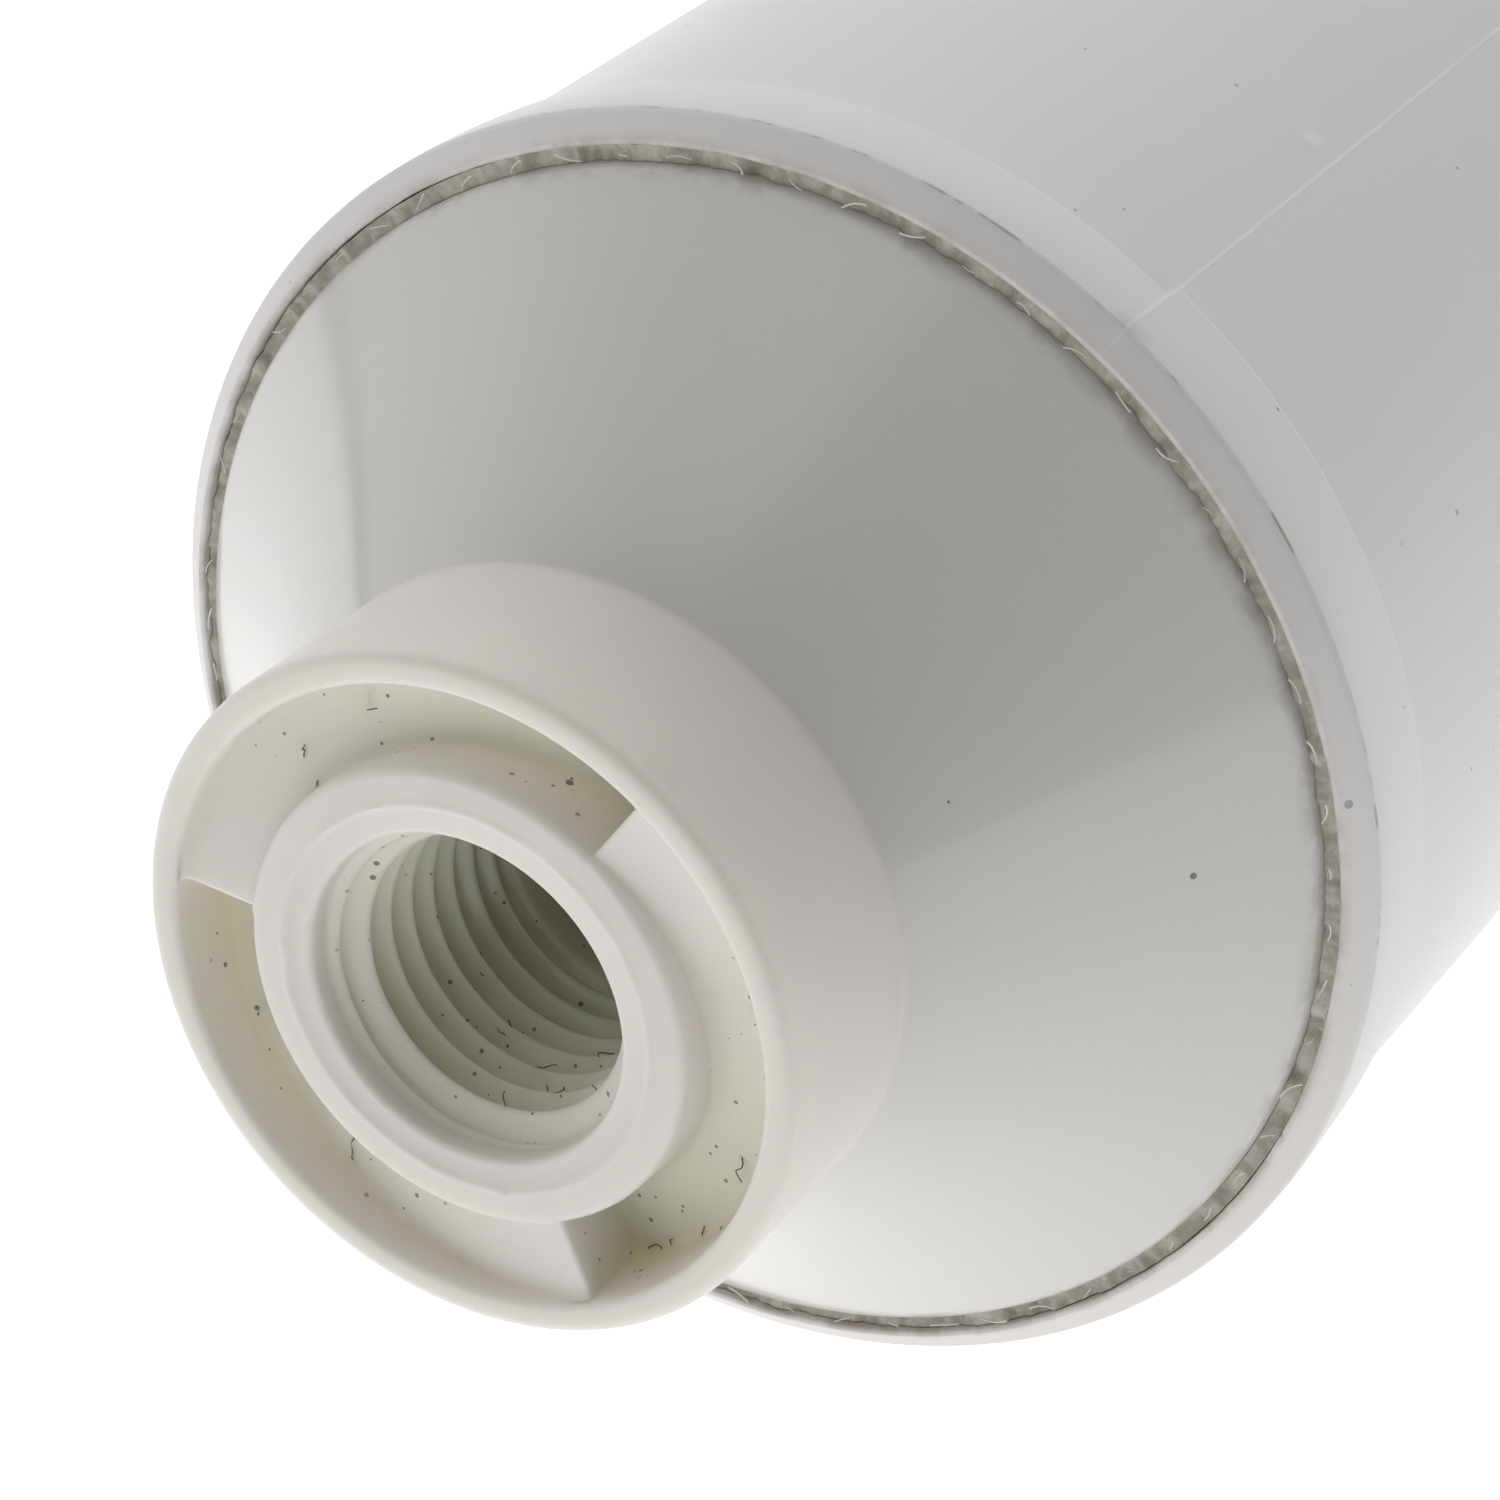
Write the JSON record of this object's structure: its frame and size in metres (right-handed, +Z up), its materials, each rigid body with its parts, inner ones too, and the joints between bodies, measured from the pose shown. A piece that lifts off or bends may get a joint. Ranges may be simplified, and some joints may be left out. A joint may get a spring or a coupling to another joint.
{
  "type": "inline water filter cartridge",
  "caption": "Sealed inline water filter: white tube, welded conical end caps, threaded ports with one-way drive ramps, carbon element inside.",
  "frame": {"origin": "middle of the cartridge, on its long axis", "axes": "+Y along the long axis towards the outlet port, -Y out of the inlet port, +Z up as it lies on its side"},
  "size_m": [0.055, 0.254, 0.055],
  "materials": {
    "shell_plastic": "moulded white polypropylene, faintly scuffed gloss",
    "cap_plastic": "moulded cool white polypropylene, gloss",
    "weld_plastic": "melted and re-set weld flash, dirty grey white",
    "activated_carbon": "matt black sintered activated carbon block",
    "prefilter_fleece": "soft white non-woven polypropylene fleece",
    "netting_plastic": "extruded white polyethylene netting",
    "core_fleece": "thin white non-woven fleece",
    "core_plastic": "natural white polypropylene tube",
    "element_plastic": "moulded white polypropylene",
    "hot_melt": "set polyolefin hot-melt adhesive",
    "seal_rubber": "matt black EPDM rubber"
  },
  "bodies": {
    "root": {"body_shell": "shell_plastic", "inlet_end_cap": "cap_plastic", "outlet_end_cap": "cap_plastic", "inlet_weld_bead": "weld_plastic", "outlet_weld_bead": "weld_plastic", "carbon_block": "activated_carbon", "prefilter_wrap": "prefilter_fleece", "outer_netting": "netting_plastic", "inner_fleece": "core_fleece", "core_tube": "core_plastic", "closed_element_cap": "element_plastic", "open_element_cap": "element_plastic", "closed_cap_glue": "hot_melt", "open_cap_glue": "hot_melt", "inner_o_ring": "seal_rubber", "outer_o_ring": "seal_rubber"}
  },
  "joints": []
}
